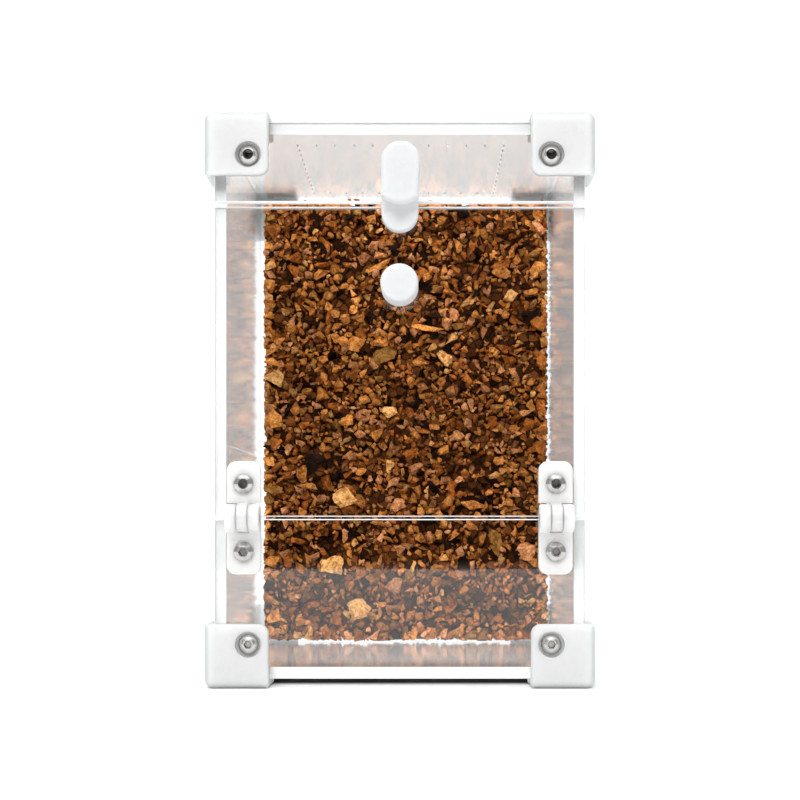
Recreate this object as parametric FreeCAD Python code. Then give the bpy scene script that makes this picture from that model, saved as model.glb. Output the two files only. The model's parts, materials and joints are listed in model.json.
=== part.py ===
"""Small clear enclosure for ants: glued acrylic box, corner brackets, drop-down door and cork wall.

Frame: millimetres, +Z up, the door faces -Y, the feet stand on Z = 0, and the origin is at the
centre of the footprint, knob included.
"""

import FreeCAD, Part
import math
import os

V = FreeCAD.Vector
UP = V(0, 0, 1)
FRONT = V(0, -1, 0)
BACK = V(0, 1, 0)
RIGHT = V(1, 0, 0)
SAME = 1e-6

# Acrylic box
box_width = 100.0
box_depth = 89.0
box_height = 150.0
sheet = 3.0
edge_break = 0.3
glue_line = 0.05
seat_gap = 0.05

# Front wall: fixed lower strip, door, fixed upper strip
lower_front_height = 43.0
upper_front_height = 21.7
door_bottom_gap = 0.6
door_top_gap = 1.2

# Ventilation holes, drilled round the border of a square grid
vent_radius = 0.23
vent_count = 12
vent_pitch = 5.23
side_vent_rise = 6.04
side_vent_bottom = 63.2

# Corner brackets
bracket_wall = 2.45
bracket_reach = 14.8
bracket_outer_radius = 2.4
bracket_free_radius = 2.7
bracket_rim_chamfer = 0.45
bracket_screw_inset = 9.4

# M3 screws and nuts
thread_radius = 1.5
thread_gap = 0.05
screw_hole_radius = 1.7
head_radius = 2.7
head_height = 1.65
head_rim_height = 0.45
head_flat_radius = 1.4
socket_across_flats = 2.0
socket_depth = 1.05
screw_tip = 0.7
tip_chamfer = 0.35
counterbore_radius = 3.5
counterbore_depth = 1.7
nut_across_flats = 5.5
nut_height = 2.4
nut_chamfer_deg = 30.0

# Door hinges
hinge_inset = 8.2
hinge_width = 9.1
hinge_leaf_length = 15.2
hinge_leaf_thickness = 1.9
hinge_leaf_corner_radius = 2.5
hinge_leaf_edge_radius = 0.4
hinge_barrel_radius = 3.65
hinge_barrel_clearance = 0.25
hinge_leaf_clearance = 0.35
hinge_knuckle_gap = 0.2
hinge_knuckle_count = 3
hinge_barrel_chamfer = 0.35
hinge_pin_radius = 1.1
hinge_pin_running_gap = 0.08
hinge_pin_fixed_gap = 0.02
hinge_screw_distance = 9.1

# Knob
knob_radius = 5.0
knob_length = 10.0
knob_edge_radius = 1.3
knob_below_door_top = 21.9
knob_thread_depth = 7.0
blind_hole_extra = 0.5

# Magnetic catch: a foot screwed to the door and a head that reaches over the upper strip
catch_foot_radius = 4.9
catch_head_radius = 5.15
catch_foot_length = 7.2
catch_head_reach = 14.7
catch_foot_thickness = 3.6
catch_head_thickness = 8.0
catch_head_overhang = 0.4
catch_step_radius = 7.7
catch_foot_edge_radius = 0.8
catch_head_edge_radius = 1.3
catch_strip_gap = 0.3
catch_lean_deg = 1.3
catch_screw_below_door_top = 3.7
catch_thread_depth = 2.8
magnet_radius = 3.0
magnet_height = 3.0
magnet_hole_gap = 0.1
magnet_above_strip_edge = 8.0

# Cork wall
cork_thickness = 10.0
cork_left_gap = 1.4
cork_right_gap = 0.2
cork_bottom_gap = 1.2
cork_top_gap = 1.1
cork_corner_radius = 3.5
cork_nut_clearance = 0.6

# Bark chunks that stand out of the cork, each a many-sided lump with a slanted top
chunk_relief = 2.0
chunk_pitch = 10.0
chunk_reach = 6.8
chunk_corners = 6
chunk_taper = 0.86
chunk_root = 0.5
chunk_shift = 1.2
chunk_reach_spread = 0.26
chunk_height_spread = 0.3
chunk_tilt_deg = 8.0

# Places that follow from the sizes above
hinge_axis_offset = hinge_barrel_radius + hinge_barrel_clearance
front_reach = max(knob_length, catch_head_thickness, hinge_axis_offset + hinge_barrel_radius)
bracket_offset = bracket_wall + seat_gap
half_width = box_width / 2
inner_half_width = half_width - sheet
front_face = (front_reach - bracket_offset - box_depth) / 2
back_face = front_face + box_depth
front_inner = front_face + sheet
back_inner = back_face - sheet
middle_y = (front_face + back_face) / 2
floor_bottom = bracket_offset
floor_top = floor_bottom + sheet
roof_top = floor_bottom + box_height
roof_bottom = roof_top - sheet
middle_z = (floor_bottom + roof_top) / 2
lower_front_top = floor_bottom + lower_front_height
door_bottom = lower_front_top + door_bottom_gap
upper_front_bottom = roof_top - upper_front_height
door_top = upper_front_bottom - door_top_gap
hinge_axis_z = (lower_front_top + door_bottom) / 2
hinge_axis_y = front_face - hinge_axis_offset
hinge_centre_x = half_width - hinge_inset
screw_length = hinge_leaf_thickness + sheet + seat_gap + nut_height + screw_tip
bracket_seat = bracket_offset - counterbore_depth
bracket_screw_x = half_width - bracket_screw_inset
bracket_screw_heights = (floor_bottom + bracket_screw_inset, roof_top - bracket_screw_inset)
knob_z = door_top - knob_below_door_top
catch_screw_z = door_top - catch_screw_below_door_top
magnet_z = upper_front_bottom + magnet_above_strip_edge
cork_back = back_inner - seat_gap
cork_front = cork_back - cork_thickness
cork_body_front = cork_front + chunk_relief
cork_x_range = (cork_left_gap - inner_half_width, inner_half_width - cork_right_gap)
cork_z_range = (floor_top + cork_bottom_gap, roof_bottom - cork_top_gap)


def block(x_range, y_range, z_range):
    """A box given by its low and high X, Y and Z."""
    low = V(x_range[0], y_range[0], z_range[0])
    return Part.makeBox(x_range[1] - low.x, y_range[1] - low.y, z_range[1] - low.z, low)


def rod(radius, start, direction, length):
    """A round bar that starts at a point and runs along a direction."""
    return Part.makeCylinder(radius, length, start, direction)


def aimed(shape, position, direction):
    """A copy of a shape made along +Z, turned to a direction and moved to a position."""
    copy = shape.copy()
    copy.Placement = FreeCAD.Placement(position, FreeCAD.Rotation(UP, direction))
    return copy


def edges_where(shape, test):
    """The edges whose middle point passes a test."""
    chosen = []
    for edge in shape.Edges:
        middle = edge.valueAt((edge.FirstParameter + edge.LastParameter) / 2)
        if test(middle):
            chosen.append(edge)
    return chosen


def near(a, b):
    return abs(a - b) < SAME


def hexagon_corner(across_flats):
    """The distance from a hexagon's centre to its corners."""
    return across_flats / 2 / math.cos(math.pi / 6)


def hexagon_prism(across_flats, height, low_z):
    """A six-sided prism along +Z."""
    corner = hexagon_corner(across_flats)
    points = []
    for index in range(6):
        angle = index * math.pi / 3
        points.append(V(corner * math.cos(angle), corner * math.sin(angle), low_z))
    return Part.Face(Part.makePolygon(points + points[:1])).extrude(V(0, 0, height))


def turned(profile):
    """A solid of revolution about Z from (radius, height) corners, some joined by arcs.

    Each corner is (radius, height), or (radius, height, radius_mid, height_mid) where an arc
    through the middle point leads to it.
    """
    edges = []
    for start, end in zip(profile, profile[1:] + profile[:1]):
        first = V(start[0], 0, start[1])
        last = V(end[0], 0, end[1])
        if len(end) == 4:
            edges.append(Part.Arc(first, V(end[2], 0, end[3]), last).toShape())
        else:
            edges.append(Part.LineSegment(first, last).toShape())
    return Part.Face(Part.Wire(edges)).revolve(V(0, 0, 0), UP, 360)


def dome_middle():
    """The middle point (radius, height) of a screw head's dome, which is part of a sphere."""
    rise = head_height - head_rim_height
    centre_z = head_height - (head_radius ** 2 - head_flat_radius ** 2 + rise ** 2) / (2 * rise)
    low_angle = math.atan2(head_rim_height - centre_z, head_radius)
    high_angle = math.atan2(head_height - centre_z, head_flat_radius)
    middle_angle = (low_angle + high_angle) / 2
    dome_radius = math.hypot(head_flat_radius, head_height - centre_z)
    return dome_radius * math.cos(middle_angle), centre_z + dome_radius * math.sin(middle_angle)


def button_screw(length):
    """An M3 button-head screw: head above Z = 0, shank below it, hexagon socket in the head."""
    profile = [
        (0, -length),
        (thread_radius - tip_chamfer, -length),
        (thread_radius, -length + tip_chamfer),
        (thread_radius, 0),
        (head_radius, 0),
        (head_radius, head_rim_height),
        (head_flat_radius, head_height, *dome_middle()),
        (0, head_height),
    ]
    socket = hexagon_prism(socket_across_flats, head_height, head_height - socket_depth)
    return turned(profile).cut(socket)


def hexagon_nut():
    """An M3 nut that stands on Z = 0, its corners chamfered at both ends."""
    corner = hexagon_corner(nut_across_flats)
    drop = (corner - nut_across_flats / 2) * math.tan(math.radians(nut_chamfer_deg))
    envelope = turned([
        (0, 0),
        (nut_across_flats / 2, 0),
        (corner, drop),
        (corner, nut_height - drop),
        (nut_across_flats / 2, nut_height),
        (0, nut_height),
    ])
    bore = rod(thread_radius + thread_gap, V(0, 0, 0), UP, nut_height)
    return hexagon_prism(nut_across_flats, nut_height, 0).common(envelope).cut(bore)


def border_grid(pitch_u, pitch_v):
    """Places (u, v) round the border of a grid of vents, centred in u and starting at v = 0."""
    last = vent_count - 1
    places = []
    for column in range(vent_count):
        for row in range(vent_count):
            if column in (0, last) or row in (0, last):
                places.append(((column - last / 2) * pitch_u, row * pitch_v))
    return places


def drilled(panel, holes):
    """A panel less a list of hole cutters."""
    if not holes:
        return panel
    return panel.cut(Part.makeCompound(holes))


def wall_hole(x, z, radius, wall_front):
    """A cutter for a hole through an upright sheet that faces -Y."""
    return rod(radius, V(x, wall_front, z), BACK, sheet)


def front_sheet(low_z, high_z, holes):
    """A front sheet as wide as the box, its sawn edges broken, with holes through it."""
    panel = block((-half_width, half_width), (front_face, front_inner), (low_z, high_z))
    return drilled(panel.makeChamfer(edge_break, panel.Edges), holes)


def between_walls(x_range, z_range):
    """A sheet glued between the front wall and the back sheet."""
    return block(x_range, (front_inner + glue_line, back_inner - glue_line), z_range)


def top_panel():
    panel = between_walls((-half_width, half_width), (roof_bottom, roof_top))
    start_y = middle_y - (vent_count - 1) * vent_pitch / 2
    vents = []
    for u, v in border_grid(vent_pitch, vent_pitch):
        vents.append(rod(vent_radius, V(u, start_y + v, roof_bottom), UP, sheet))
    return drilled(panel, vents)


def bottom_panel():
    return between_walls((-half_width, half_width), (floor_bottom, floor_top))


def side_panel(low_x):
    panel = between_walls((low_x, low_x + sheet), (floor_top + glue_line, roof_bottom - glue_line))
    start_z = floor_bottom + side_vent_bottom
    vents = []
    for u, v in border_grid(vent_pitch, side_vent_rise):
        vents.append(rod(vent_radius, V(low_x, middle_y + u, start_z + v), RIGHT, sheet))
    return drilled(panel, vents)


def bracket_holes(wall_front, heights):
    """Cutters for the bracket screws through an upright sheet."""
    cutters = []
    for z in heights:
        for x in (-bracket_screw_x, bracket_screw_x):
            cutters.append(wall_hole(x, z, screw_hole_radius, wall_front))
    return cutters


def hinge_holes(z):
    cutters = []
    for x in (-hinge_centre_x, hinge_centre_x):
        cutters.append(wall_hole(x, z, screw_hole_radius, front_face))
    return cutters


def back_panel():
    panel = block((-half_width, half_width), (back_inner, back_face), (floor_bottom, roof_top))
    return drilled(panel, bracket_holes(back_inner, bracket_screw_heights))


def upper_front_panel():
    holes = bracket_holes(front_face, bracket_screw_heights[1:])
    holes.append(wall_hole(0, magnet_z, magnet_radius + magnet_hole_gap, front_face))
    return front_sheet(upper_front_bottom, roof_top, holes)


def lower_front_panel():
    holes = bracket_holes(front_face, bracket_screw_heights[:1])
    holes += hinge_holes(hinge_axis_z - hinge_screw_distance)
    return front_sheet(floor_bottom, lower_front_top, holes)


def door_panel():
    holes = hinge_holes(hinge_axis_z + hinge_screw_distance)
    holes.append(wall_hole(0, knob_z, screw_hole_radius, front_face))
    holes.append(wall_hole(0, catch_screw_z, screw_hole_radius, front_face))
    return front_sheet(door_bottom, door_top, holes)


def face_kind(face, size):
    """Which part of a bracket's skin a face is: its free end, its rounded outside or neither."""
    surface = face.Surface
    if isinstance(surface, Part.Sphere):
        return "outside"
    if isinstance(surface, Part.Cylinder):
        return "end" if near(surface.Radius, bracket_free_radius) else "outside"
    for values in zip(*[(p.Point.x, p.Point.y, p.Point.z) for p in face.Vertexes]):
        if all(near(value, size) for value in values):
            return "end"
        if all(near(value, 0) for value in values):
            return "outside"
    return "inside"


def corner_bracket():
    """The bracket of the left front bottom corner, its outer corner at the origin.

    Three square flanges wrap the corner. The outer edges and the free corner of each flange are
    rounded, its rim is chamfered, and the front flange is counterbored for its screw.
    """
    size = bracket_offset + bracket_reach
    outer = Part.makeBox(size, size, size)
    spine = edges_where(outer, lambda p: [near(c, 0) for c in p].count(True) == 2)
    outer = outer.makeFillet(bracket_outer_radius, spine)
    inside = V(bracket_wall, bracket_wall, bracket_wall)
    body = outer.cut(Part.makeBox(size, size, size, inside))
    corners = edges_where(body, lambda p: [near(c, size) for c in p].count(True) == 2)
    body = body.makeFillet(bracket_free_radius, corners)
    rim = []
    for edge in body.Edges:
        kinds = [face_kind(face, size) for face in body.ancestorsOfType(edge, Part.Face)]
        if sorted(kinds) == ["end", "outside"]:
            rim.append(edge)
    body = body.makeChamfer(bracket_rim_chamfer, rim)
    centre = bracket_offset + bracket_screw_inset
    hole = rod(screw_hole_radius, V(centre, 0, centre), BACK, bracket_wall)
    counterbore = rod(counterbore_radius, V(centre, 0, centre), BACK, counterbore_depth)
    return body.cut(hole).cut(counterbore)


def brackets():
    """Eight brackets by name, mirrored from the left front bottom one."""
    first = corner_bracket()
    first.translate(V(-half_width - bracket_offset, front_face - bracket_offset, 0))
    centre = V(0, middle_y, middle_z)
    named = {}
    for depth_name, turn_back in (("front", False), ("rear", True)):
        for side_name, turn_right in (("left", False), ("right", True)):
            for height_name, turn_up in (("bottom", False), ("top", True)):
                bracket = first.copy()
                if turn_back:
                    bracket = bracket.mirror(centre, BACK)
                if turn_right:
                    bracket = bracket.mirror(centre, RIGHT)
                if turn_up:
                    bracket = bracket.mirror(centre, UP)
                named["bracket_%s_%s_%s" % (depth_name, side_name, height_name)] = bracket
    return named


def bracket_fasteners():
    """The eight bracket screws, and the nuts inside the box that they pass into."""
    screw = button_screw(screw_length)
    nut = hexagon_nut()
    walls = (
        (front_face - bracket_seat, front_inner + seat_gap, FRONT),
        (back_face + bracket_seat, back_inner - seat_gap, BACK),
    )
    screws = []
    nuts = []
    for seat_y, inner_y, outward in walls:
        for x in (-bracket_screw_x, bracket_screw_x):
            for z in bracket_screw_heights:
                screws.append(aimed(screw, V(x, seat_y, z), outward))
                nuts.append(aimed(nut, V(x, inner_y, z), outward * -1))
    return Part.makeCompound(screws), Part.makeCompound(nuts)


def hinge_fasteners(z):
    """One screw and one nut for each hinge, at a height."""
    screw = button_screw(screw_length)
    nut = hexagon_nut()
    screws = []
    nuts = []
    for x in (-hinge_centre_x, hinge_centre_x):
        screws.append(aimed(screw, V(x, front_face - hinge_leaf_thickness, z), FRONT))
        nuts.append(aimed(nut, V(x, front_inner + seat_gap, z), BACK))
    return Part.makeCompound(screws), Part.makeCompound(nuts)


def knuckle_width():
    gaps = (hinge_knuckle_count - 1) * hinge_knuckle_gap
    return (hinge_width - gaps) / hinge_knuckle_count


def knuckle(index, bore_radius):
    """One knuckle with the web that joins it to the upper leaf, at the hinge axis of X = 0."""
    width = knuckle_width()
    low_x = -hinge_width / 2 + index * (width + hinge_knuckle_gap)
    axis = V(low_x, -hinge_axis_offset, 0)
    barrel = rod(hinge_barrel_radius, axis, RIGHT, width)
    end_x = {0: low_x, hinge_knuckle_count - 1: low_x + width}.get(index)
    if end_x is not None:
        end_rim = edges_where(barrel, lambda p: near(p.x, end_x))
        barrel = barrel.makeChamfer(hinge_barrel_chamfer, end_rim)
    leaf_start = hinge_barrel_radius + hinge_leaf_clearance
    web_low = door_bottom_gap / 2
    web_points = [
        V(low_x, -seat_gap, web_low),
        V(low_x, -seat_gap, leaf_start),
        V(low_x, -hinge_leaf_thickness, leaf_start),
        V(low_x, -hinge_axis_offset, hinge_barrel_radius),
        V(low_x, -hinge_axis_offset, web_low),
        V(low_x, -seat_gap, web_low),
    ]
    web = Part.Face(Part.makePolygon(web_points)).extrude(V(width, 0, 0))
    bore = rod(bore_radius, axis, RIGHT, width)
    return barrel.fuse(web).cut(bore)


def hinge_leaf(knuckle_indices, bore_radius):
    """An upper leaf on a wall at Y = 0 that faces -Y, its hinge axis along X at Z = 0."""
    leaf_start = hinge_barrel_radius + hinge_leaf_clearance
    half = hinge_width / 2
    plate = block((-half, half), (-hinge_leaf_thickness, -seat_gap), (leaf_start, hinge_leaf_length))
    outer_corners = edges_where(plate, lambda p: near(abs(p.x), half) and near(p.z, hinge_leaf_length))
    plate = plate.makeFillet(hinge_leaf_corner_radius, outer_corners)

    def on_front_rim(point):
        return near(point.y, -hinge_leaf_thickness) and point.z > leaf_start + hinge_leaf_edge_radius

    plate = plate.makeFillet(hinge_leaf_edge_radius, edges_where(plate, on_front_rim))
    start = V(0, -hinge_leaf_thickness, hinge_screw_distance)
    leaf = plate.cut(rod(screw_hole_radius, start, BACK, hinge_leaf_thickness))
    for index in knuckle_indices:
        leaf = leaf.fuse(knuckle(index, bore_radius))
    return leaf.removeSplitter()


def hinges():
    """Both hinges by name: a leaf on the door, a leaf on the lower strip and the pin."""
    middle = hinge_knuckle_count // 2
    outer = [index for index in range(hinge_knuckle_count) if index != middle]
    door_leaf = hinge_leaf([middle], hinge_pin_radius + hinge_pin_running_gap)
    fixed_leaf = hinge_leaf(outer, hinge_pin_radius + hinge_pin_fixed_gap).mirror(V(0, 0, 0), UP)
    pin_start = V(-hinge_width / 2, -hinge_axis_offset, 0)
    pin = rod(hinge_pin_radius, pin_start, RIGHT, hinge_width)
    named = {}
    for side_name, x in (("left", -hinge_centre_x), ("right", hinge_centre_x)):
        place = V(x, front_face, hinge_axis_z)
        for name, shape in (("door_leaf", door_leaf), ("fixed_leaf", fixed_leaf), ("pin", pin)):
            moved = shape.copy()
            moved.translate(place)
            named["%s_hinge_%s" % (side_name, name)] = moved
    return named


def door_knob():
    """A round knob on the door with a blind thread from behind."""
    centre = V(0, front_face - seat_gap, knob_z)
    body = rod(knob_radius, centre, FRONT, knob_length - seat_gap)
    tip = edges_where(body, lambda p: near(p.y, front_face - knob_length))
    body = body.makeFillet(knob_edge_radius, tip)
    depth = knob_thread_depth + blind_hole_extra
    return body.cut(rod(thread_radius + thread_gap, centre, FRONT, depth))


def knob_screw():
    screw = button_screw(seat_gap + sheet + knob_thread_depth)
    return aimed(screw, V(0, front_inner + seat_gap, knob_z), BACK)


def catch_screw():
    screw = button_screw(seat_gap + sheet + catch_thread_depth)
    return aimed(screw, V(0, front_inner + seat_gap, catch_screw_z), BACK)


def catch_slab(thickness):
    """The catch's whole outline, a round foot and a wider round head, as thick as asked."""
    foot_z = door_top - catch_foot_length + catch_foot_radius
    head_z = upper_front_bottom + catch_head_reach - catch_head_radius
    slope = (catch_foot_radius - catch_head_radius) / (head_z - foot_z)
    level = math.sqrt(1 - slope * slope)

    def rim_point(side, centre_z, radius):
        return V(side * radius * level, front_face, centre_z + radius * slope)

    foot_left = rim_point(-1, foot_z, catch_foot_radius)
    foot_right = rim_point(1, foot_z, catch_foot_radius)
    head_left = rim_point(-1, head_z, catch_head_radius)
    head_right = rim_point(1, head_z, catch_head_radius)
    foot_end = V(0, front_face, foot_z - catch_foot_radius)
    head_end = V(0, front_face, head_z + catch_head_radius)
    outline = Part.Wire([
        Part.Arc(foot_left, foot_end, foot_right).toShape(),
        Part.LineSegment(foot_right, head_right).toShape(),
        Part.Arc(head_right, head_end, head_left).toShape(),
        Part.LineSegment(head_left, foot_left).toShape(),
    ])
    return Part.Face(outline).extrude(FRONT * thickness)


def rounded_front(body, thickness, radius):
    """A slab with its front rim rounded."""
    return body.makeFillet(radius, edges_where(body, lambda p: near(p.y, front_face - thickness)))


def behind_catch(gap, low_z):
    """A cutter that takes a gap off the back of the catch, from a height upwards."""
    return block((-catch_head_radius * 2, catch_head_radius * 2), (front_face - gap, front_face),
                 (low_z, roof_top))


def door_catch():
    """The catch on the door: thin foot, thick head with an arched step, magnet pocket behind."""
    step_low = upper_front_bottom - door_top_gap - catch_head_overhang
    step_centre = V(0, front_face, step_low + catch_step_radius)
    above = behind_catch(catch_head_thickness, step_centre.z)
    arch = rod(catch_step_radius, step_centre, FRONT, catch_head_thickness)
    head = catch_slab(catch_head_thickness).common(above.fuse(arch).removeSplitter())
    head = rounded_front(head, catch_head_thickness, catch_head_edge_radius)
    foot = rounded_front(catch_slab(catch_foot_thickness), catch_foot_thickness, catch_foot_edge_radius)
    body = head.fuse(foot).removeSplitter()
    pocket_start = V(0, front_face - catch_strip_gap, magnet_z)
    pocket = rod(magnet_radius + magnet_hole_gap, pocket_start, FRONT, magnet_height)
    body = body.cut(behind_catch(seat_gap, knob_z)).cut(behind_catch(catch_strip_gap, door_top))
    body = body.cut(pocket)
    screw_place = V(0, front_face, catch_screw_z)
    body.rotate(screw_place, BACK, catch_lean_deg)
    return body.cut(rod(thread_radius + thread_gap, screw_place, FRONT, catch_thread_depth))


def catch_magnet():
    """The disc magnet in the catch's head, turned with the catch about its screw."""
    start = V(0, front_face - catch_strip_gap, magnet_z)
    magnet = rod(magnet_radius, start, FRONT, magnet_height)
    magnet.rotate(V(0, front_face, catch_screw_z), BACK, catch_lean_deg)
    return magnet


def keeper_magnet():
    """The disc magnet set flush in the upper strip."""
    return rod(magnet_radius, V(0, front_face, magnet_z), BACK, magnet_height)


def cork_slab(low_y):
    """The cork board's outline with its rounded corners, from a depth back to the back sheet."""
    slab = block(cork_x_range, (low_y, cork_back), cork_z_range)
    middle = (low_y + cork_back) / 2
    return slab.makeFillet(cork_corner_radius, edges_where(slab, lambda p: near(p.y, middle)))


def uneven(index, prime):
    """A repeatable share from -1 to 1 that jumps about from one index to the next."""
    return 2 * (index * math.sqrt(prime) % 1) - 1


def slanted_cutter(place, angle):
    """A cutter for everything in front of a slanted plane through a place."""
    cutter = block((-chunk_reach, chunk_reach), (-chunk_relief * 2, 0), (-chunk_reach, chunk_reach))
    cutter.rotate(V(0, 0, 0), V(math.cos(angle), 0, math.sin(angle)), chunk_tilt_deg)
    cutter.translate(place)
    return cutter


def bark_chunk(index, x, z):
    """A lump of bark with flat sides, about a place on the front of the cork board."""
    height = chunk_relief * (1 - chunk_height_spread * (1 + uneven(index, 2)) / 2)
    centre = V(x + chunk_shift * uneven(index, 3), 0, z + chunk_shift * uneven(index, 5))
    root_y = cork_body_front + chunk_root
    top_y = cork_body_front - height
    roots = []
    tops = []
    for corner in range(chunk_corners):
        angle = math.pi * (uneven(index, 7) + 2 * corner / chunk_corners)
        share = 1 - chunk_reach_spread * (1 + uneven(index * chunk_corners + corner, 11)) / 2
        arm = V(math.cos(angle), 0, math.sin(angle)) * (chunk_reach * share)
        roots.append(centre + arm + V(0, root_y, 0))
        tops.append(centre + arm * chunk_taper + V(0, top_y, 0))
    outlines = [roots, tops]
    for corner in range(chunk_corners):
        following = (corner + 1) % chunk_corners
        outlines.append([roots[corner], roots[following], tops[following], tops[corner]])
    faces = [Part.Face(Part.makePolygon(points + points[:1])) for points in outlines]
    lump = Part.Solid(Part.Shell(faces))
    return lump.cut(slanted_cutter(centre + V(0, top_y, 0), math.pi * uneven(index, 13)))


def bark_chunks():
    """The chunks of the cork board, on an even grid that fills it and then shifted about."""
    width = cork_x_range[1] - cork_x_range[0]
    height = cork_z_range[1] - cork_z_range[0]
    columns = round(width / chunk_pitch)
    rows = round(height / chunk_pitch)
    chunks = []
    for row in range(rows):
        for column in range(columns):
            x = cork_x_range[0] + (column + 0.5) * width / columns
            z = cork_z_range[0] + (row + 0.5) * height / rows
            chunks.append(bark_chunk(row * columns + column, x, z))
    return chunks


def cork_wall():
    """The cork board on the back sheet, with pockets for the nuts of the rear brackets."""
    chunks = bark_chunks()
    lumps = chunks[0].fuse(chunks[1:]).common(cork_slab(cork_front))
    board = cork_slab(cork_body_front).fuse(lumps).removeSplitter()
    radius = hexagon_corner(nut_across_flats) + cork_nut_clearance
    depth = screw_length - bracket_seat - sheet + cork_nut_clearance
    pockets = []
    for x in (-bracket_screw_x, bracket_screw_x):
        for z in bracket_screw_heights:
            pockets.append(rod(radius, V(x, back_inner, z), FRONT, depth))
    return board.cut(Part.makeCompound(pockets))


def all_parts():
    """Every piece of the enclosure by node name."""
    parts = {
        "bottom_panel": bottom_panel(),
        "top_panel": top_panel(),
        "left_panel": side_panel(-half_width),
        "right_panel": side_panel(inner_half_width),
        "back_panel": back_panel(),
        "upper_front_panel": upper_front_panel(),
        "lower_front_panel": lower_front_panel(),
        "door_panel": door_panel(),
        "door_knob": door_knob(),
        "knob_screw": knob_screw(),
        "door_catch": door_catch(),
        "catch_screw": catch_screw(),
        "catch_magnet": catch_magnet(),
        "keeper_magnet": keeper_magnet(),
        "cork_wall": cork_wall(),
    }
    parts.update(brackets())
    parts.update(hinges())
    parts["bracket_screws"], parts["bracket_nuts"] = bracket_fasteners()
    below = hinge_axis_z - hinge_screw_distance
    above = hinge_axis_z + hinge_screw_distance
    parts["hinge_screws_fixed"], parts["hinge_nuts_fixed"] = hinge_fasteners(below)
    parts["hinge_screws_door"], parts["hinge_nuts_door"] = hinge_fasteners(above)
    return parts


def main():
    os.makedirs("parts", exist_ok=True)
    for name, shape in sorted(all_parts().items()):
        shape.exportStep("parts/%s.step" % name)
        print("%-28s solids %d  volume %.2f" % (name, len(shape.Solids), shape.Volume))


main()
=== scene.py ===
import json
import math

import bmesh
import bpy
import numpy as np
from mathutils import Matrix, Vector
from mathutils import noise as field
from mathutils.bvhtree import BVHTree

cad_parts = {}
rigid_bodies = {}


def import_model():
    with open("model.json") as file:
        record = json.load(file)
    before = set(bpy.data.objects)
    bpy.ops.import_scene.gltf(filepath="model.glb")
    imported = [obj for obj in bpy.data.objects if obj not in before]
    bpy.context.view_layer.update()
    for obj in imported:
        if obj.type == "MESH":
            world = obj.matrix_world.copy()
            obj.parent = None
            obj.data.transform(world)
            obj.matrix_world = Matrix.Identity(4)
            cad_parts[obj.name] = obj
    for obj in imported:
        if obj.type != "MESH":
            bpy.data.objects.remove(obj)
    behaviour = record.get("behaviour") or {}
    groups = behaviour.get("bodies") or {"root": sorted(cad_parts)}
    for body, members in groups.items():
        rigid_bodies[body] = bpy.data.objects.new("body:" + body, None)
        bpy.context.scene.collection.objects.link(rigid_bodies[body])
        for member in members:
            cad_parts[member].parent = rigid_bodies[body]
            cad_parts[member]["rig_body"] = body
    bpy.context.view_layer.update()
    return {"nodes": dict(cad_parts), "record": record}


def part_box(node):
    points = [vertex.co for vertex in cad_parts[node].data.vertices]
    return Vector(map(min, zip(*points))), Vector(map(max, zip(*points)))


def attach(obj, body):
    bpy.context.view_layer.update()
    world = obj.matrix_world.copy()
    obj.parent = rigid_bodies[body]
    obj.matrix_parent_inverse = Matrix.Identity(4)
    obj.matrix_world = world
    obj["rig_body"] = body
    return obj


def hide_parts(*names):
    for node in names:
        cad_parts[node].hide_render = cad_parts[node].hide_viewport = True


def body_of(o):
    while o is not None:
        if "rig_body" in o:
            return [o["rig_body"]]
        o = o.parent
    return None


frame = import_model()
nodes = frame["nodes"]

MM = 0.001
CM2_PER_M2 = 1e4
WHITE = (1.0, 1.0, 1.0)
FRONT_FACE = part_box("door_panel")[0].y
SEED = 11

# Camera, level and in front of the door
CAMERA_X = 0.0065
CAMERA_Z = 0.04545
CAMERA_DISTANCE = 0.3806
LENS = 63.64
SENSOR = 36.0
SHIFT = (-0.03, 0.149)
CLIP_START = 0.01

# Light of the white surroundings: it grows from SIDE_LIGHT to BACK_LIGHT where a direction's Y goes
# through BACK_RANGE, and gains TOP_LIGHT where its Z goes through TOP_RANGE. Seen directly, the
# background is SEEN_WHITE all over
SIDE_LIGHT = 0.46
BACK_LIGHT = 1.32
BACK_RANGE = (0.5, 0.9)
TOP_LIGHT = 1.5
TOP_RANGE = (0.6, 0.9)
SEEN_WHITE = 1.1

# The dark place in front where the photographer stands: its direction, the cosines over which it gets
# dark, the Z over which it rises out of the white, and its colour
PHOTOGRAPHER = (0.0, -0.98, 0.2)
DARK_RANGE = (0.80, 0.90)
DARK_HEIGHTS = (-0.037, -0.028)
DARK_TONE = (0.022, 0.012, 0.008)

# Softboxes: name, place, width in metres and watts, all aimed at one point
SOFTBOX_TARGET = (0.0, 0.0, 0.08)
SOFTBOXES = (
    ("key_front", (-0.25, -1.45, 1.36), 0.7, 16.5),
    ("fill_left", (-0.7, -0.45, 0.3), 0.4, 0.12),
)

# Floor: its reach in front of the door, to the rear and to each side, and the shadow painted on it under
# the box: half its width, its start and end behind the front face, and its blur across and in depth
FLOOR_FRONT = 0.9
FLOOR_REAR = 3.0
FLOOR_SIDE = 2.0
FLOOR_TONE = (0.97, 0.97, 0.97)
PAINTED_SHADOW_TONE = (0.012, 0.012, 0.012)
PAINTED_SHADOW_HALF_WIDTH = 0.0365
PAINTED_SHADOW_DEPTHS = (0.014, 0.024)
PAINTED_SHADOW_BLUR = (0.002, 0.011)

# Sheets: a face shows the laser's cut where it lies this near the sheet's border and its normal has
# less than FLAT_FACE across the sheet. The scuffed sheets have SCUFFS as their roughness
RIM_DEPTH = 0.0006
FLAT_FACE = 0.9
SCUFFS = 0.12
SCUFFED = ("top_panel", "left_panel", "right_panel", "bottom_panel")
ACRYLIC_IOR = 1.49

# Nylon: the facing values, 0 straight on and 1 edge on, between which a painted shade darkens its skin
NYLON_IOR = 1.52
PAINTED_SHADE_RANGE = (0.06, 0.40)
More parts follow.
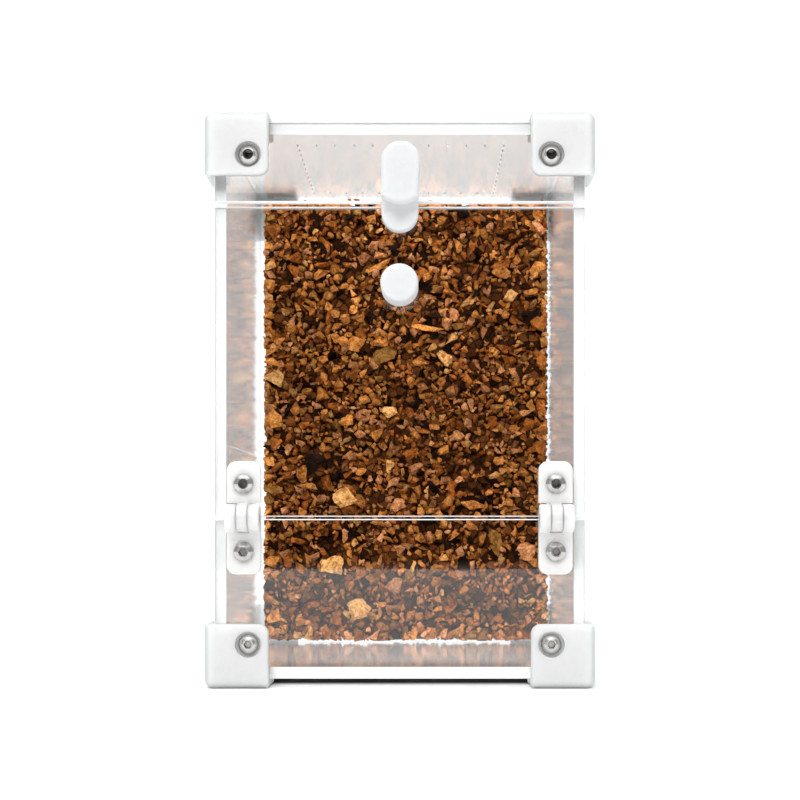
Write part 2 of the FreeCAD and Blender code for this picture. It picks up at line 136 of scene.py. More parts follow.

# Metal: how much darker its patches are, and how far the painted shade in its recesses reaches
METAL_DULL = 0.8
METAL_RECESS = 0.0012

# Facets of CAD nodes that meet at less than this are shaded smoothly
SHARP_DEGREES = 35

# Light crosses many faces of the sheets
BOUNCES = 48

# Cork board, in metres: the first FRONT_ZONE of its body is moved back by BODY_SETBACK, and its sides in
# by half of EDGE_RELIEF, to leave room for the chips. The chips stay inside the board's box with
# rounded corners, some of them up to RAGGED inside, but hang HANG lower. The body has
# GRANULES_PER_METRE of its own
BODY_SETBACK = 0.0016
FRONT_ZONE = 0.0030
EDGE_RELIEF = 0.0020
CORNER_RADIUS = 0.0035
RAGGED = 0.0005
HANG = 0.0008
GRANULES_PER_METRE = 380.0

# Front chips: their centres lie STAND_OUT of their radius behind the front, and further back by
# RELIEF_SHARE of the CAD board's relief and by up to PATCH_DEPTH in patches. At DARK_DEPTH a painted
# shade has taken DARKEST of their tint's brightness, and more of its green and blue. CREVICE is how far
# the painted shade in gaps reaches and RAY_START how far in front of the board its relief is measured from
RELIEF_SHARE = 0.5
PATCH_SCALE = 110.0
PATCH_DEPTH = 0.0012
STAND_OUT = (0.7, 1.15)
DARK_DEPTH = 0.0056
DARKEST = 0.88
SHADE_WARMTH = (1.0, 1.25, 1.6)
CREVICE = 0.0020
RAY_START = 0.01

# Edge chips: the least depth of their centres, and how much less than EDGE_RELIEF the greatest is, both
# in shares of their radius
EDGE_SINK = 0.72
EDGE_STAND_OUT = 0.5

# Shapes: how many of each fineness there are, how many finenesses, the least number of points and the
# one past the most, how far out these lie, and the roughness of the faces
SHAPES = 60
FINENESSES = 4
SHAPE_POINTS = (8, 13)
SHAPE_REACH = (0.70, 1.0)
SHAPE_NOISE = 0.05

# A chip is its shape times its radius and CHIP_GROWTH, squashed along two axes, in a lighter or darker
# version of its tint
CHIP_GROWTH = 1.2
SQUASH_Y = (0.65, 1.0)
SQUASH_Z = (0.5, 0.95)
TINT_SPREAD = (0.62, 1.25)

# Spacing: width of a grid cell, how many cells off a chip can still be too near, and the share of an
# earlier chip's radius that stays clear
CELL = 0.004
NEAR_CELLS = 2
SPARED = 0.70

# Crumbs on top of the board: place across and radius, depth of their centres behind the front, and
# their height over the board and their shape in shares of the radius
CRUMB_PLACES = ((-0.0176, 0.0011), (-0.0158, 0.0010), (-0.0148, 0.0008), (0.0446, 0.0005))
CRUMB_DEPTH = 0.002
CRUMB_RISE = 0.3
CRUMB_SHAPE = (1.1, 0.9, 0.6)


# ---------------------------------------------------------------- node helpers
def material_tree(name):
    """A new material and its empty node tree."""
    material = bpy.data.materials.new(name)
    material.use_nodes = True
    material.node_tree.nodes.clear()
    return material, material.node_tree


def add(tree, kind, values=None, **settings):
    """Adds a shader node, with settings and with values or links for its inputs."""
    node = tree.nodes.new("ShaderNode" + kind)
    for key, value in settings.items():
        setattr(node, key, value)
    for socket, value in (values or {}).items():
        if isinstance(value, bpy.types.NodeSocket):
            tree.links.new(value, node.inputs[socket])
        else:
            node.inputs[socket].default_value = value
    return node


def noise(tree, scale, detail, roughness, distortion=0.0):
    """Noise on the object's own coordinates, in metres."""
    where = add(tree, "TexCoord").outputs["Object"]
    return add(tree, "TexNoise", {
        "Vector": where, "Scale": scale, "Detail": detail, "Roughness": roughness, "Distortion": distortion,
    }).outputs["Fac"]


def ramp(tree, factor, stops):
    """A colour ramp with (position, colour) stops."""
    node = add(tree, "ValToRGB", {"Fac": factor})
    elements = node.color_ramp.elements
    while len(elements) < len(stops):
        elements.new(0.5)
    for element, (position, colour) in zip(elements, stops):
        element.position = position
        element.color = (*colour, 1.0)
    return node.outputs["Color"]


def times(tree, first, second):
    """The product of two colours. A Mix node has its factor in socket 0, its colours in 6 and 7."""
    mix = add(tree, "Mix", {0: 1.0, 6: first, 7: second}, data_type="RGBA", blend_type="MULTIPLY")
    return mix.outputs[2]


def calculate(tree, operation, first, second):
    return add(tree, "Math", {0: first, 1: second}, operation=operation).outputs[0]


def remap(tree, value, source, target, kind="LINEAR"):
    """Takes a value from one range to another and holds it there."""
    values = {"Value": value, "From Min": source[0], "From Max": source[1],
              "To Min": target[0], "To Max": target[1]}
    return add(tree, "MapRange", values, interpolation_type=kind).outputs["Result"]


def smooth_step(tree, value, source, target=(0.0, 1.0)):
    return remap(tree, value, source, target, "SMOOTHSTEP")


def bump(tree, height, strength, distance):
    values = {"Height": height, "Strength": strength, "Distance": distance}
    return add(tree, "Bump", values).outputs["Normal"]


def see_through_for_lamps(tree, surface, tint):
    """The surface, which shadow rays go through with a tint instead of stopping at it."""
    clear = add(tree, "BsdfTransparent", {"Color": (*tint, 1.0)})
    shadow = add(tree, "LightPath").outputs["Is Shadow Ray"]
    return add(tree, "MixShader", {0: shadow, 1: surface, 2: clear.outputs[0]}).outputs[0]


def close(tree, surface):
    """Links the surface to a new output."""
    add(tree, "OutputMaterial", {"Surface": surface})


# ---------------------------------------------------------------- materials
def nylon(name, light, dark, grain, roughness, scatter_depth, painted_shade_tone):
    """Sintered nylon: a fine powder grain, faintly mottled, with light scattered under the skin.

    Where the skin turns away from the eye its colour is darkened by the last argument's tone: painted shade
    along its outlines.
    """
    material, tree = material_tree(name)
    mottle = noise(tree, 420.0, detail=4.0, roughness=0.6)
    facing = add(tree, "LayerWeight", {"Blend": 0.5}).outputs["Facing"]
    # Painted shade: the skin gets darker where it turns away from the eye
    painted_edge_shade = ramp(tree, facing, ((PAINTED_SHADE_RANGE[0], WHITE), (PAINTED_SHADE_RANGE[1], painted_shade_tone)))
    skin = ramp(tree, mottle, ((0.35, dark), (0.65, light)))
    powder = noise(tree, 3800.0, detail=2.0, roughness=0.6)
    coarse = noise(tree, 900.0, detail=2.0, roughness=0.5)
    height = calculate(tree, "ADD", powder, coarse)
    shader = add(tree, "BsdfPrincipled", {
        "Base Color": times(tree, skin, painted_edge_shade),
        "Roughness": remap(tree, coarse, (0.0, 1.0), (roughness - 0.06, roughness + 0.08)),
        "Normal": bump(tree, height, grain, distance=0.0002),
        "IOR": NYLON_IOR,
        "Subsurface Weight": 1.0,
        "Subsurface Radius": (1.0, 1.0, 1.0),
        "Subsurface Scale": scatter_depth,
    })
    close(tree, shader.outputs[0])
    return material


def metal(name, colour, roughness, scratch_scale, strength):
    """Plain metal with fine tool marks, patches that are duller and painted shade in its recesses."""
    material, tree = material_tree(name)
    marks = noise(tree, scratch_scale, detail=5.0, roughness=0.7)
    patches = noise(tree, 700.0, detail=2.0, roughness=0.5)
    tint = ramp(tree, patches, ((0.3, tuple(c * METAL_DULL for c in colour)), (0.7, colour)))
    # Painted shade: the colour darkens in recesses such as the screws' sockets
    recess = add(tree, "AmbientOcclusion", {"Color": tint, "Distance": METAL_RECESS})
    shader = add(tree, "BsdfPrincipled", {
        "Base Color": recess.outputs["Color"],
        "Metallic": 1.0,
        "Roughness": remap(tree, patches, (0.0, 1.0), (roughness - 0.08, roughness + 0.12)),
        "Normal": bump(tree, marks, strength, distance=0.00005),
    })
    close(tree, shader.outputs[0])
    return material


def acrylic(name, roughness):
    """Clear cast acrylic that lets lamps through, scuffed where it has some roughness."""
    material, tree = material_tree(name)
    ripple = noise(tree, 14.0, detail=1.0, roughness=0.4)
    glass = add(tree, "BsdfPrincipled", {
        "Base Color": (0.992, 0.996, 0.994, 1.0),
        "Roughness": roughness,
        "IOR": ACRYLIC_IOR,
        "Transmission Weight": 1.0,
        "Normal": bump(tree, ripple, strength=0.02, distance=0.0002),
    })
    close(tree, see_through_for_lamps(tree, glass.outputs[0], (0.96, 0.965, 0.965)))
    return material


def cut_acrylic():
    """The milky edge that a laser leaves on acrylic, with fine ribs. It dims the lamps a little."""
    material, tree = material_tree("cut_acrylic")
    ribs = noise(tree, 2200.0, detail=3.0, roughness=0.6)
    tone = ramp(tree, ribs, ((0.35, (0.90, 0.91, 0.91)), (0.65, (0.96, 0.965, 0.965))))
    shader = add(tree, "BsdfPrincipled", {
        "Base Color": tone,
        "Roughness": 0.5,
        "IOR": ACRYLIC_IOR,
        "Transmission Weight": 0.15,
        "Normal": bump(tree, ribs, strength=0.3, distance=0.0001),
    })
    close(tree, see_through_for_lamps(tree, shader.outputs[0], (0.85, 0.855, 0.855)))
    return material


def chip_cork():
    """Loose cork bark: each chip has its own tint, with painted shade in it on deeper chips, dark pores,
    pale grain, a dry rough skin and painted shade in the gaps between chips.
    """
    material, tree = material_tree("cork_chips")
    # The tint of each chip, with painted shade in it on the deeper chips
    tint = add(tree, "Attribute", attribute_name="chip_tint_and_shade").outputs["Color"]
    grain = noise(tree, 1500.0, detail=6.0, roughness=0.72)
    grain_tone = ramp(tree, grain, ((0.36, (0.46, 0.40, 0.33)), (0.5, (0.95, 0.95, 0.94)),
                                    (0.66, (1.3, 1.3, 1.3))))
    blotch = noise(tree, 520.0, detail=3.0, roughness=0.55, distortion=0.6)
    blotch_tone = ramp(tree, blotch, ((0.36, (0.50, 0.39, 0.28)), (0.58, (1.12, 1.12, 1.12))))
    open_air = add(tree, "AmbientOcclusion", {"Distance": CREVICE}).outputs["AO"]
    # Painted shade: the colour darkens in the gaps between chips
    painted_crevice_shade = ramp(tree, open_air, ((0.10, (0.10, 0.035, 0.010)), (0.55, WHITE)))
    height = calculate(tree, "ADD", grain, blotch)
    shader = add(tree, "BsdfPrincipled", {
        "Base Color": times(tree, times(tree, times(tree, tint, grain_tone), blotch_tone), painted_crevice_shade),
        "Roughness": 0.82,
        "Normal": bump(tree, height, strength=0.75, distance=0.0004),
        "Specular IOR Level": 0.08,
    })
    close(tree, shader.outputs[0])
    return material


def board_cork():
    """The pressed body of the board: dark granules with seams of glue between them, darkened further as
    painted shade for the deep gaps between the chips.
    """
    material, tree = material_tree("cork_board")
    where = add(tree, "TexCoord").outputs["Object"]
    values = {"Vector": where, "Scale": GRANULES_PER_METRE, "Randomness": 1.0}
    cells = add(tree, "TexVoronoi", values)
    to_edge = add(tree, "TexVoronoi", values, feature="DISTANCE_TO_EDGE").outputs["Distance"]
    cell_tone = add(tree, "SeparateColor", {"Color": cells.outputs["Color"]}).outputs[0]
    tone = ramp(tree, cell_tone, ((0.0, (0.012, 0.004, 0.001)), (0.6, (0.11, 0.034, 0.007)),
                                  (1.0, (0.24, 0.082, 0.020))))
    seam = ramp(tree, to_edge, ((0.02, (0.12, 0.1, 0.09)), (0.11, WHITE)))
    grain = noise(tree, 1600.0, detail=5.0, roughness=0.7)
    grain_tone = ramp(tree, grain, ((0.35, (0.5, 0.45, 0.4)), (0.65, (1.2, 1.2, 1.2))))
    height = calculate(tree, "ADD", to_edge, grain)
    shader = add(tree, "BsdfPrincipled", {
        "Base Color": times(tree, times(tree, tone, seam), grain_tone),
        "Roughness": 0.88,
        "Normal": bump(tree, height, strength=0.6, distance=0.0005),
        "Specular IOR Level": 0.06,
    })
    close(tree, shader.outputs[0])
    return material


def new_object(name, data):
    """An object in the scene that holds the data."""
    made = bpy.data.objects.new(name, data)
    bpy.context.scene.collection.objects.link(made)
    return made


def dress(names, material):
    """Gives CAD nodes a material in every slot."""
    for name in names:
        for slot in nodes[name].material_slots:
            slot.material = material


def shade_by_angle(names):
    """Smooth shading, with sharp edges where facets of CAD nodes meet at a steep angle."""
    for name in names:
        mesh = nodes[name].data
        mesh.shade_smooth()
        mesh.set_sharp_from_angle(angle=math.radians(SHARP_DEGREES))


# ---------------------------------------------------------------- cork
# Linear colours of the bark, and the share of the chips that each has
CHIP_TINTS = {
    "tan": (0.78, 0.315, 0.076),
    "pale": (0.86, 0.450, 0.155),
    "pink": (0.80, 0.355, 0.155),
    "brown": (0.52, 0.168, 0.032),
    "olive": (0.40, 0.185, 0.044),
    "rust": (0.52, 0.055, 0.018),
    "black_and_hollow_shade": (0.022, 0.009, 0.005),
}
TINT_SHARES = {"tan": 0.34, "pale": 0.07, "pink": 0.18, "brown": 0.27, "olive": 0.09, "black_and_hollow_shade": 0.05}

# Radii of the chips in metres, how many are tried on each square centimetre, how finely they are
# split, how much of their own radius stays clear of others, and how far behind the front they lie
CHIP_SIZES = (
    (0.0029, 0.0039, 2.2, 2, 0.45, 0.0),
    (0.0018, 0.0027, 24.0, 1, 0.34, 0.0001),
    (0.0011, 0.0016, 90.0, 0, 0.30, 0.0003),
    (0.0006, 0.0010, 200.0, 0, 0.25, 0.0005),
)

# Chunks that stand out: half their depth in mm, how much larger their shapes are made, how deep their
# centres lie in shares of that half depth, how finely they are split, and the share of their outline
# in which no other chip lies
CHUNK_HALF_DEPTH = 1.5
CHUNK_GROWTH = 1.1
CHUNK_SINK = 0.9
CHUNK_CUTS = 3
CHUNK_COVER = 0.85

# Each of them: place across and up, width and height, all in mm, turn in degrees, tint
LANDMARKS = (
    (-8.0, 127.2, 12.0, 2.6, 26, "tan"),
    (33.6, 117.8, 10.0, 5.4, 4, "pale"),
    (31.4, 125.2, 7.4, 5.0, -20, "tan"),
    (40.2, 111.4, 6.5, 4.6, -12, "black_and_hollow_shade"),
    (7.9, 119.8, 5.0, 4.4, 10, "black_and_hollow_shade"),
    (8.0, 107.8, 11.0, 3.4, -8, "tan"),
    (-6.6, 98.5, 11.0, 7.0, 20, "olive"),
    (12.8, 97.6, 7.6, 6.2, -25, "pale"),
    (-15.5, 101.7, 7.0, 5.8, 15, "tan"),
    # This black chunk stands in for the shade of a hollow in the cork: painted shade
    (-28.7, 62.9, 8.6, 9.0, 0, "black_and_hollow_shade"),
    (-31.6, 56.5, 10.5, 2.8, -14, "tan"),
    (-19.4, 51.8, 9.0, 7.8, -18, "pale"),
    (-4.7, 80.5, 6.0, 5.6, 20, "pale"),
    (-4.5, 62.1, 4.8, 5.4, 10, "pale"),
    (-3.3, 57.3, 8.0, 3.4, 32, "pink"),
    (-18.7, 77.8, 7.2, 5.0, -20, "tan"),
    (22.2, 50.0, 9.4, 3.8, -6, "tan"),
    (39.9, 34.7, 8.6, 7.6, 10, "pink"),
    (29.0, 38.7, 6.8, 9.0, 30, "olive"),
    (-23.0, 31.0, 9.2, 8.4, 12, "pale"),
    (-14.6, 16.9, 10.2, 8.4, -10, "pale"),
    (-2.9, 23.9, 8.0, 6.0, -15, "pink"),
    (45.7, 141.0, 2.0, 4.4, 0, "rust"),
    (45.6, 109.5, 2.2, 3.4, 10, "rust"),
)

# Rings of chips round a hollow: place across and up and radius, in mm. Then the number of chips in
# each, the depth of their centres in metres, their size in shares of the ring's radius, their turn
# against it in degrees, how finely they are split, and the share of it in which no other chip lies
RINGS = ((-20.0, 115.9, 4.6), (7.6, 43.6, 5.0))
RING_CHIPS = 9
RING_DEPTH = 0.0011
RING_SCALE = (0.4, 0.3, 0.42)
RING_TURN = 8
RING_CUTS = 1
RING_COVER = 0.6


def angular_lump(rng, cuts):
    """Points and faces of a chip of about unit radius: a convex hull, split and roughened."""
    points = rng.normal(size=(rng.integers(*SHAPE_POINTS), 3))
    points *= (rng.uniform(*SHAPE_REACH, len(points)) / np.linalg.norm(points, axis=1))[:, None]
    mesh = bmesh.new()
    for point in points:
        mesh.verts.new(point)
    bmesh.ops.convex_hull(mesh, input=mesh.verts)
    loose = [vertex for vertex in mesh.verts if not vertex.link_faces]
    bmesh.ops.delete(mesh, geom=loose, context="VERTS")
    if cuts:
        bmesh.ops.subdivide_edges(mesh, edges=mesh.edges, cuts=cuts, use_grid_fill=True)
        bmesh.ops.triangulate(mesh, faces=mesh.faces)
    mesh.verts.index_update()
    corners = np.array([vertex.co for vertex in mesh.verts])
    faces = np.array([[vertex.index for vertex in face.verts] for face in mesh.faces])
    mesh.free()
    return corners + rng.normal(size=corners.shape) * SHAPE_NOISE, faces


def spread(rng, width, height):
    """Places (u, v, radius, cuts, recess), large chips first, none too near another."""
    grid = {}
    placed = []
    for low, high, density, cuts, crowding, recess in CHIP_SIZES:
        for _ in range(int(density * width * height * CM2_PER_M2)):
            u = rng.uniform(0, width)
            v = rng.uniform(0, height)
            radius = rng.uniform(low, high)
            column, row = int(u / CELL), int(v / CELL)
            near = (
                other
                for i in range(column - NEAR_CELLS, column + NEAR_CELLS + 1)
                for j in range(row - NEAR_CELLS, row + NEAR_CELLS + 1)
                for other in grid.get((i, j), ())
            )
            if all(math.hypot(u - at_u, v - at_v) > crowding * radius + SPARED * size
                   for at_u, at_v, size in near):
                grid.setdefault((column, row), []).append((u, v, radius))
                placed.append((u, v, radius, cuts, recess))
    return placed


def random_turn(rng):
    """A random rotation matrix."""
    q = rng.normal(size=4)
    w, x, y, z = q / np.linalg.norm(q)
    return np.array([
        [1 - 2 * (y * y + z * z), 2 * (x * y - z * w), 2 * (x * z + y * w)],
        [2 * (x * y + z * w), 1 - 2 * (x * x + z * z), 2 * (y * z - x * w)],
        [2 * (x * z - y * w), 2 * (y * z + x * w), 1 - 2 * (x * x + y * y)],
    ])


def level_turn(degrees):
    """A rotation about Y that turns +X towards +Z."""
    c, s = math.cos(math.radians(degrees)), math.sin(math.radians(degrees))
    return np.array([[c, 0, -s], [0, 1, 0], [s, 0, c]])


class ChipPile:
    """Collects chips as one mesh with a tint on every point, which holds painted shade on the deeper chips.
    """

    def __init__(self, rng, low, high):
        self.rng = rng
        self.low = np.array(low)
        self.high = np.array(high)
        self.shapes = [[angular_lump(rng, cuts) for _ in range(SHAPES)] for cuts in range(FINENESSES)]
        self.points = []
        self.faces = []
        self.tints = []
        self.count = 0

    def random_tint(self):
        names = list(TINT_SHARES)
        pick = self.rng.choice(len(names), p=list(TINT_SHARES.values()))
        return CHIP_TINTS[names[pick]]

    def add(self, centre, scale, turn, tint, cuts=0, clip=True):
        """Adds one shape, moved and cut back into the box unless clip is off."""
        shapes = self.shapes[cuts]
        corners, faces = shapes[self.rng.integers(len(shapes))]
        points = (corners * scale) @ turn.T + centre
        if clip:
            inset = self.rng.uniform(0, RAGGED, 3) * (1, 0, 1)
            points += np.maximum(self.low + inset - points.min(axis=0), 0) * (1, 0, 1)
            points -= np.maximum(points.max(axis=0) - self.high + inset, 0) * (1, 0, 1)
            points = np.clip(points, self.low, self.high)
        colour = np.array(tint) * self.rng.uniform(*TINT_SPREAD)
        self.points.append(points)
        self.faces.append(faces + self.count)
        self.tints.append(np.repeat([[*colour, 1.0]], len(points), axis=0))
        self.count += len(points)

    def chip(self, centre, radius, shade=1.0, cuts=0):
        """Adds a chip with a random turn, squash and tint, the tint darkened by the painted shade given as
        shade.
        """
        squash = np.array([1.0, self.rng.uniform(*SQUASH_Y), self.rng.uniform(*SQUASH_Z)])
        tint = np.array(self.random_tint()) * shade ** np.array(SHADE_WARMTH)
        self.add(centre, radius * CHIP_GROWTH * squash, random_turn(self.rng), tint, cuts)

    def build(self, name):
        points = np.concatenate(self.points)
        faces = np.concatenate(self.faces)
        mesh = bpy.data.meshes.new(name)
        mesh.from_pydata(points.tolist(), [], faces.tolist())
        tint = mesh.attributes.new("chip_tint_and_shade", "FLOAT_COLOR", "POINT")
        tint.data.foreach_set("color", np.concatenate(self.tints).astype(np.float32).ravel())
        mesh.validate()
        return mesh


def inside_rounded(x, z, low, high, radius):
    """True if a point lies within a rectangle with rounded corners."""
    dx = max(low[0] + radius - x, x - high[0] + radius, 0)
    dz = max(low[2] + radius - z, z - high[2] + radius, 0)
    return dx == 0 or dz == 0 or math.hypot(dx, dz) < radius


def cork_edges(low, high):
    """The board's four narrow faces: origin, the directions along it, the one inwards, and its size."""
    x, y, z = np.eye(3)
    width, depth, height = high - low
    return (
        (low, y, z, x, depth, height),
        (np.array([high[0], low[1], low[2]]), y, z, -x, depth, height),
        (low, x, y, z, width, depth),
        (np.array([low[0], low[1], high[2]]), x, y, -z, width, depth),
    )


def under_landmark(x, z):
    """True if a point in metres lies behind one of the chunks or in one of the rings."""
    for centre_x, centre_z, width, height, degrees, _ in LANDMARKS:
        along, _, across = (x / MM - centre_x, 0, z / MM - centre_z) @ level_turn(degrees)
        if math.hypot(2 * along / width, 2 * across / height) < CHUNK_COVER:
            return True
    for centre_x, centre_z, radius in RINGS:
        if math.hypot(x / MM - centre_x, z / MM - centre_z) < radius * RING_COVER:
            return True
    return False


def front_chips(rng, pile, low, high):
    """Chips that follow the lumps on the front of the CAD board, the deeper ones darkened by painted shade.
    """
    surface = BVHTree.FromObject(nodes["cork_wall"], bpy.context.evaluated_depsgraph_get())
    for u, v, radius, cuts, recess in spread(rng, high[0] - low[0], high[2] - low[2]):
        x, z = low[0] + u, low[2] + v
        hit = surface.ray_cast((x, low[1] - RAY_START, z), (0, 1, 0))[0]
        if hit is None or under_landmark(x, z) or not inside_rounded(x, z, low, high, CORNER_RADIUS):
            continue
        hollow = max(field.noise(Vector((x, 0, z)) * PATCH_SCALE), 0) * PATCH_DEPTH
        y = low[1] + radius * rng.uniform(*STAND_OUT) + (hit.y - low[1]) * RELIEF_SHARE + hollow + recess
        # Painted shade: the deeper a chip lies, the darker its tint
        depth = (y - low[1] - radius * STAND_OUT[0]) / DARK_DEPTH
        pile.chip(np.array([x, y, z]), radius, 1 - DARKEST * min(max(depth, 0), 1), cuts)


def landmark_chunks(pile, low):
    """The chunks that stand out, and the rings."""
    for x, z, width, height, degrees, tint in LANDMARKS:
        scale = np.array([width / 2, CHUNK_HALF_DEPTH, height / 2]) * CHUNK_GROWTH * MM
        centre = np.array([x * MM, low[1] + scale[1] * CHUNK_SINK, z * MM])
        pile.add(centre, scale, level_turn(degrees), CHIP_TINTS[tint], CHUNK_CUTS)
    for x, z, radius in RINGS:
        for step in range(RING_CHIPS):
            degrees = step * 360 / RING_CHIPS
            arm = level_turn(degrees) @ (radius * MM, 0, 0)
            centre = np.array([x * MM, low[1] + RING_DEPTH, z * MM]) + arm
            scale = np.array(RING_SCALE) * radius * MM
            pile.add(centre, scale, level_turn(degrees + RING_TURN), CHIP_TINTS["tan"], RING_CUTS)


def edge_chips(rng, pile, low, high):
    """Chips on the board's four narrow faces."""
    for origin, along_u, along_v, inward, width, height in cork_edges(low, high):
        for u, v, radius, _, _ in spread(rng, width, height):
            depth = rng.uniform(radius * EDGE_SINK, max(EDGE_RELIEF - radius * EDGE_STAND_OUT, radius))
            centre = origin + along_u * u + along_v * v + inward * depth
            if inside_rounded(centre[0], centre[2], low, high, CORNER_RADIUS):
                pile.chip(centre, radius)


def cork_granules():
    """All loose chips and crumbs, as one piece."""
    rng = np.random.default_rng(SEED)
    low, high = (np.array(corner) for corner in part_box("cork_wall"))
    low[2] -= HANG
    pile = ChipPile(rng, low, high)
    front_chips(rng, pile, low, high)
    landmark_chunks(pile, low)
    edge_chips(rng, pile, low, high)
    for x, radius in CRUMB_PLACES:
        centre = np.array([x, low[1] + CRUMB_DEPTH, high[2] + radius * CRUMB_RISE])
        pile.add(centre, radius * np.array(CRUMB_SHAPE), np.eye(3), CHIP_TINTS["brown"], clip=False)
    granules = new_object("cork_granules", pile.build("cork_granules"))
    granules.data.materials.append(chip_cork())
    return granules


def cork_board():
    """The board's body with its nut pockets, set back behind the chips that stand out of it."""
    low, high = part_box("cork_wall")
    mesh = nodes["cork_wall"].data.copy()
    mesh.materials.clear()
    middle_x = (low.x + high.x) / 2
    middle_z = (low.z + high.z) / 2
    shrink_x = 1 - EDGE_RELIEF / (high.x - low.x)
    shrink_z = 1 - EDGE_RELIEF / (high.z - low.z)
    for vertex in mesh.vertices:
        vertex.co.x = middle_x + (vertex.co.x - middle_x) * shrink_x
        vertex.co.z = middle_z + (vertex.co.z - middle_z) * shrink_z
        if vertex.co.y < low.y + FRONT_ZONE:
            vertex.co.y += BODY_SETBACK
    board = new_object("cork_body", mesh)
    board.data.materials.append(board_cork())
    return board


# ---------------------------------------------------------------- sheets
def edged_sheet(name, clear, cut):
    """A clear sheet like its CAD node, with the outer rim that the laser cut in its own material."""
    low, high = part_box(name)
    size = high - low
    thin = min(range(3), key=lambda axis: size[axis])
    wide = [axis for axis in range(3) if axis != thin]
    mesh = nodes[name].data.copy()
    mesh.materials.clear()
    mesh.materials.append(clear)
    mesh.materials.append(cut)
    for polygon in mesh.polygons:
        place = polygon.center
        rim = any(min(place[axis] - low[axis], high[axis] - place[axis]) < RIM_DEPTH for axis in wide)
        polygon.material_index = int(rim and abs(polygon.normal[thin]) < FLAT_FACE)
    sheet = new_object(name.replace("panel", "sheet"), mesh)
    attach(sheet, body_of(nodes[name])[0])
    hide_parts(name)


# ---------------------------------------------------------------- stage
def soft_edge(tree, value, low, high, blur):
    """1 between low and high, falling to 0 over blur on both sides."""
    rise = smooth_step(tree, value, (low - blur, low))
    fall = smooth_step(tree, value, (high, high + blur), (1.0, 0.0))
    return calculate(tree, "MULTIPLY", rise, fall)


def floor():
    """White floor with a painted shadow under the front of the box."""
    bpy.ops.mesh.primitive_plane_add(size=1.0)
    plane = bpy.context.object
    plane.name = "studio_floor"
    for vertex in plane.data.vertices:
        vertex.co.x = math.copysign(FLOOR_SIDE, vertex.co.x)
        vertex.co.y = FLOOR_REAR if vertex.co.y > 0 else FRONT_FACE - FLOOR_FRONT
        vertex.co.z = 0.0
    material, tree = material_tree("studio_floor")
    where = add(tree, "SeparateXYZ", {0: add(tree, "TexCoord").outputs["Object"]})
    start, end = (FRONT_FACE + depth for depth in PAINTED_SHADOW_DEPTHS)
    across = soft_edge(tree, where.outputs["X"], -PAINTED_SHADOW_HALF_WIDTH, PAINTED_SHADOW_HALF_WIDTH, PAINTED_SHADOW_BLUR[0])
    deep = soft_edge(tree, where.outputs["Y"], start, end, PAINTED_SHADOW_BLUR[1])
    # Painted shadow: the floor turns dark in a band under the front of the box
    colour = ramp(tree, calculate(tree, "MULTIPLY", across, deep), ((0.0, FLOOR_TONE), (1.0, PAINTED_SHADOW_TONE)))
    shader = add(tree, "BsdfDiffuse", {"Color": colour, "Roughness": 0.4})
    close(tree, shader.outputs[0])
    plane.data.materials.append(material)


def studio_world():
    """White all round, apart from a dark place in front, where the photographer stands."""
    world = bpy.data.worlds.new("studio")
    bpy.context.scene.world = world
    world.use_nodes = True
    tree = world.node_tree
    tree.nodes.clear()
    direction = add(tree, "TexCoord").outputs["Generated"]
    facing = add(tree, "VectorMath", {0: direction, 1: PHOTOGRAPHER}, operation="DOT_PRODUCT")
    parts = add(tree, "SeparateXYZ", {0: direction})
    dark = smooth_step(tree, facing.outputs["Value"], DARK_RANGE)
    raised = smooth_step(tree, parts.outputs["Z"], DARK_HEIGHTS)
    tone = ramp(tree, calculate(tree, "MULTIPLY", dark, raised), ((0.0, WHITE), (1.0, DARK_TONE)))
    behind = remap(tree, parts.outputs["Y"], BACK_RANGE, (SIDE_LIGHT, BACK_LIGHT))
    above = remap(tree, parts.outputs["Z"], TOP_RANGE, (0.0, TOP_LIGHT))
    ambient = add(tree, "Background", {"Color": tone, "Strength": calculate(tree, "ADD", behind, above)})
    seen = add(tree, "Background", {"Color": (*WHITE, 1.0), "Strength": SEEN_WHITE})
    camera_ray = add(tree, "LightPath").outputs["Is Camera Ray"]
    mix = add(tree, "MixShader", {0: camera_ray, 1: ambient.outputs[0], 2: seen.outputs[0]})
    add(tree, "OutputWorld", {"Surface": mix.outputs[0]})


def softbox(name, place, width, watts):
    """A square area light aimed at the object."""
    data = bpy.data.lights.new(name, "AREA")
    data.shape = "SQUARE"
    data.size = width
    data.energy = watts
    lamp = new_object(name, data)
    lamp.location = place
    lamp.rotation_euler = (Vector(place) - Vector(SOFTBOX_TARGET)).to_track_quat("Z", "Y").to_euler()


def studio_camera():
    data = bpy.data.cameras.new("camera")
    data.sensor_width = SENSOR
    data.lens = LENS
    data.shift_x, data.shift_y = SHIFT
    data.clip_start = CLIP_START
    camera = new_object("camera", data)
    camera.location = (CAMERA_X, FRONT_FACE - CAMERA_DISTANCE, CAMERA_Z)
    camera.rotation_euler = (math.radians(90), 0, 0)
    bpy.context.scene.camera = camera


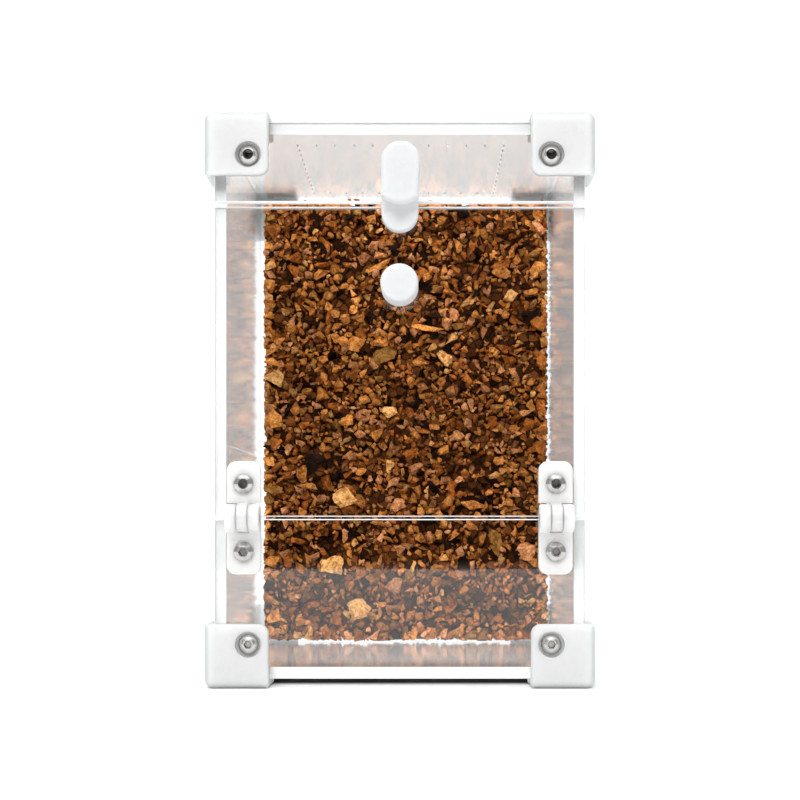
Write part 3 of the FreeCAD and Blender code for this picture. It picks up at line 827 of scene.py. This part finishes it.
# ---------------------------------------------------------------- put together
def dress_frame():
    """Gives every CAD node but the cork its look, by the material slots of the record."""
    groups = {}
    for entry in frame["record"]["subparts"]:
        groups.setdefault(entry["material_slot"], []).append(entry["node"])
    clear = acrylic("clear_acrylic", 0.0)
    scuffed = acrylic("scuffed_acrylic", SCUFFS)
    cut = cut_acrylic()
    for name in groups["clear_acrylic"]:
        edged_sheet(name, scuffed if name in SCUFFED else clear, cut)
    looks = {
        "white_bracket_plastic": nylon(
            "bracket_nylon", light=(0.795, 0.805, 0.803), dark=(0.77, 0.78, 0.778),
            grain=0.22, roughness=0.55, scatter_depth=0.0065, painted_shade_tone=(0.70, 0.72, 0.73)),
        "white_fitting_plastic": nylon(
            "fitting_nylon", light=(0.77, 0.785, 0.79), dark=(0.74, 0.755, 0.76),
            grain=0.34, roughness=0.5, scatter_depth=0.0020, painted_shade_tone=(0.96, 0.96, 0.96)),
        "hinge_plastic": nylon(
            "hinge_nylon", light=(0.90, 0.90, 0.89), dark=(0.87, 0.87, 0.86),
            grain=0.12, roughness=0.4, scatter_depth=0.0035, painted_shade_tone=(0.96, 0.96, 0.96)),
        "fastener_steel": metal(
            "fastener_steel", (0.62, 0.61, 0.59), roughness=0.17, scratch_scale=2600.0, strength=0.2),
        "pin_steel": metal(
            "pin_steel", (0.60, 0.60, 0.60), roughness=0.3, scratch_scale=2200.0, strength=0.15),
        "magnet_nickel": metal(
            "magnet_nickel", (0.72, 0.71, 0.69), roughness=0.16, scratch_scale=1500.0, strength=0.06),
    }
    for slot_name, material in looks.items():
        dress(groups[slot_name], material)
        shade_by_angle(groups[slot_name])


studio_camera()
studio_world()
floor()
for name, place, width, watts in SOFTBOXES:
    softbox(name, place, width, watts)
dress_frame()
for piece in (cork_board(), cork_granules()):
    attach(piece, "root")
    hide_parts("cork_wall")
bpy.context.scene.view_settings.view_transform = "Standard"
for kind in ("max", "transmission", "glossy", "transparent_max"):
    setattr(bpy.context.scene.cycles, kind + "_bounces", BOUNCES)

bpy.context.view_layer.update()
